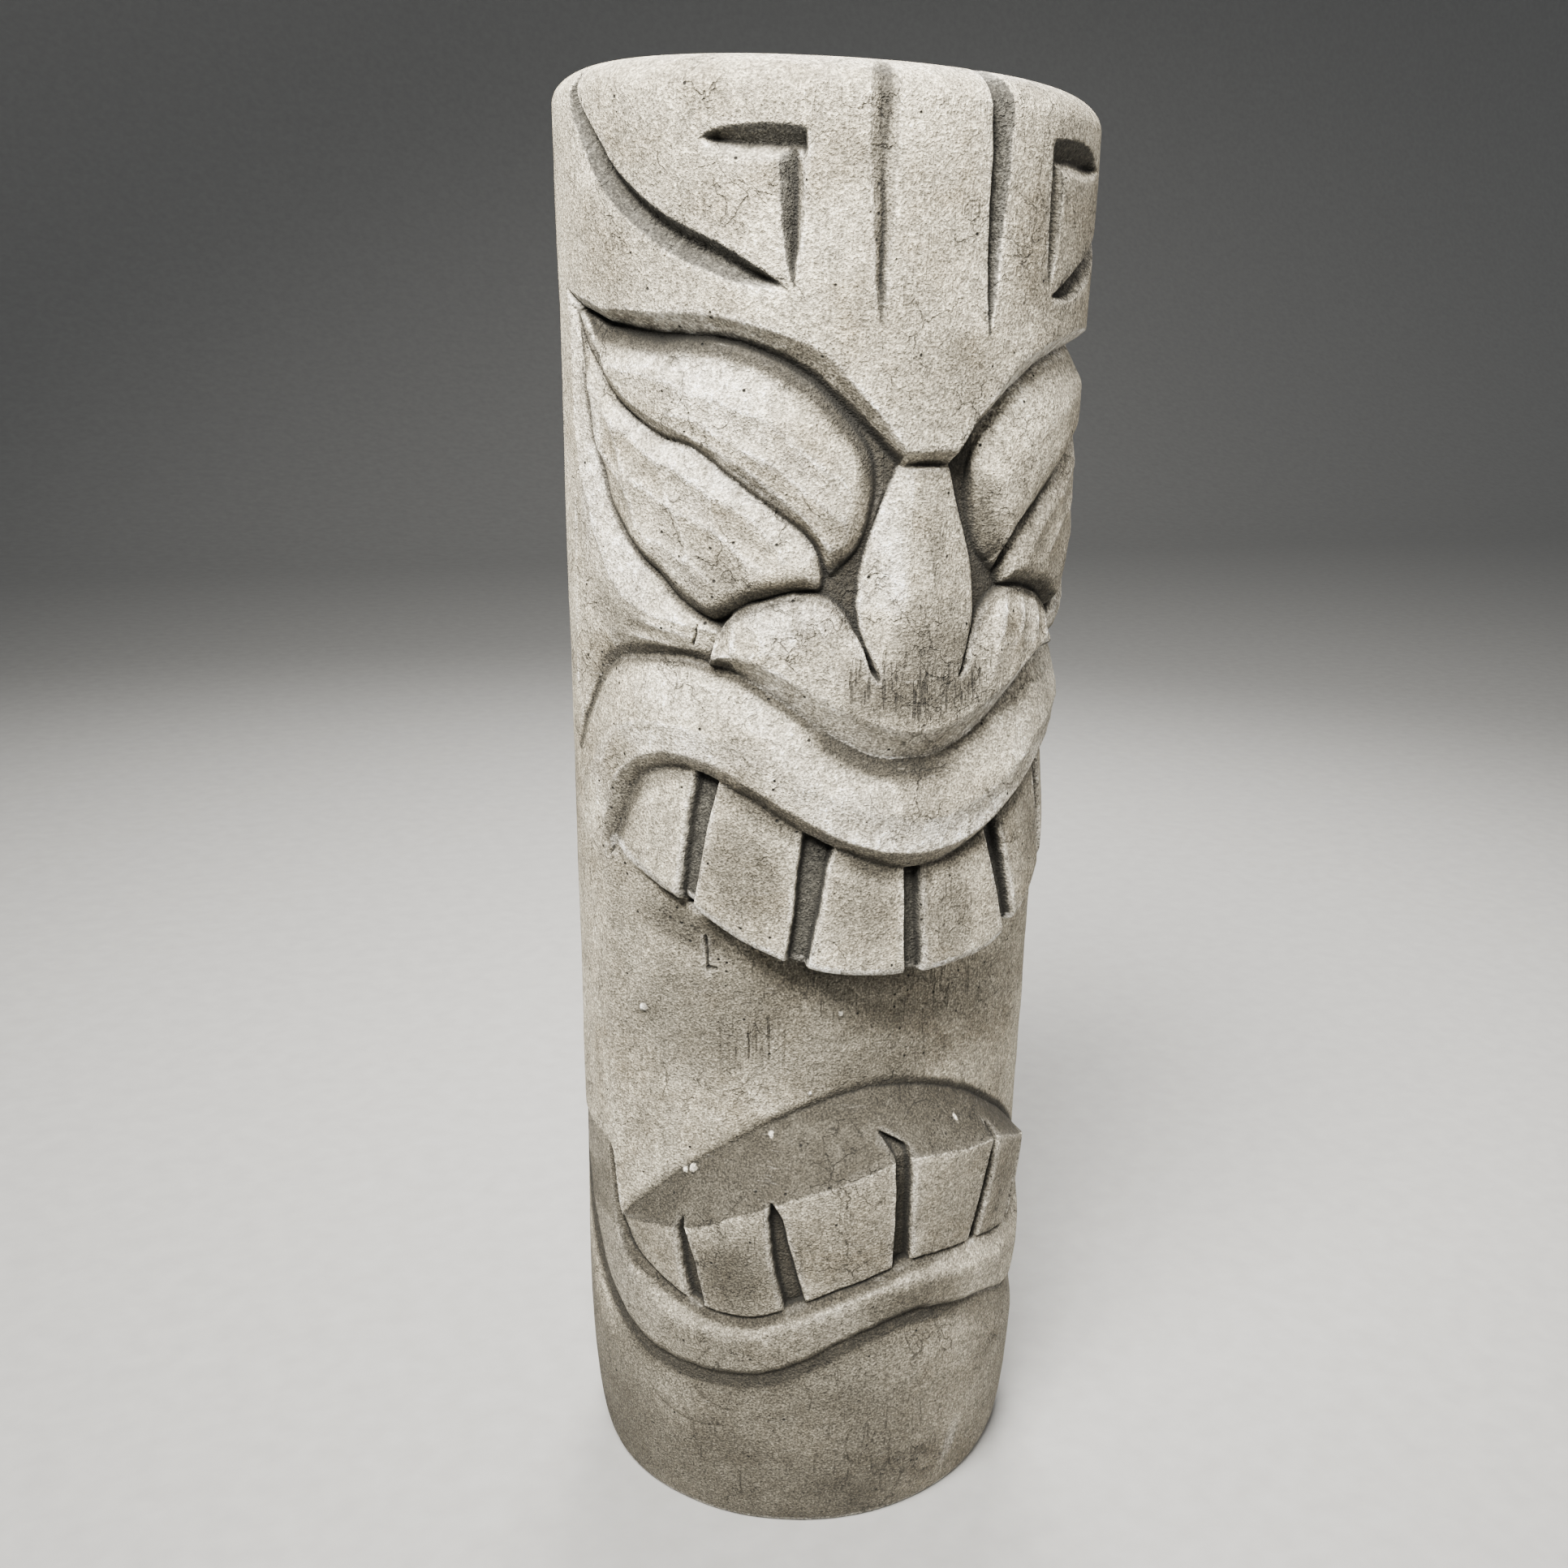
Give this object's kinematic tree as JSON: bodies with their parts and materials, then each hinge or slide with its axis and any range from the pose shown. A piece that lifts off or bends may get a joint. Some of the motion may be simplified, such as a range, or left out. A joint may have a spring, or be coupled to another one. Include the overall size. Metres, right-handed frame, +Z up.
{
  "type": "tiki totem pole",
  "caption": "Round cast-stone garden totem carved down its front with a grimacing tiki mask, standing on its flat underside.",
  "frame": {"origin": "centre of the flat underside, where the totem stands on the ground", "axes": "+Z up along the post, -Y out of the front of the face, +X to the viewer's right when looking at the face"},
  "size_m": [0.2442, 0.2449, 0.7],
  "materials": {
    "antiqued_cast_stone": "Matt warm grey-beige cast stone with an antiquing wash: darker brown-grey in the creases, pale on worn edges, blotchy stains, cast-in wood grain and small bug holes."
  },
  "bodies": {
    "root": {"tiki_totem": "antiqued_cast_stone"}
  },
  "joints": []
}
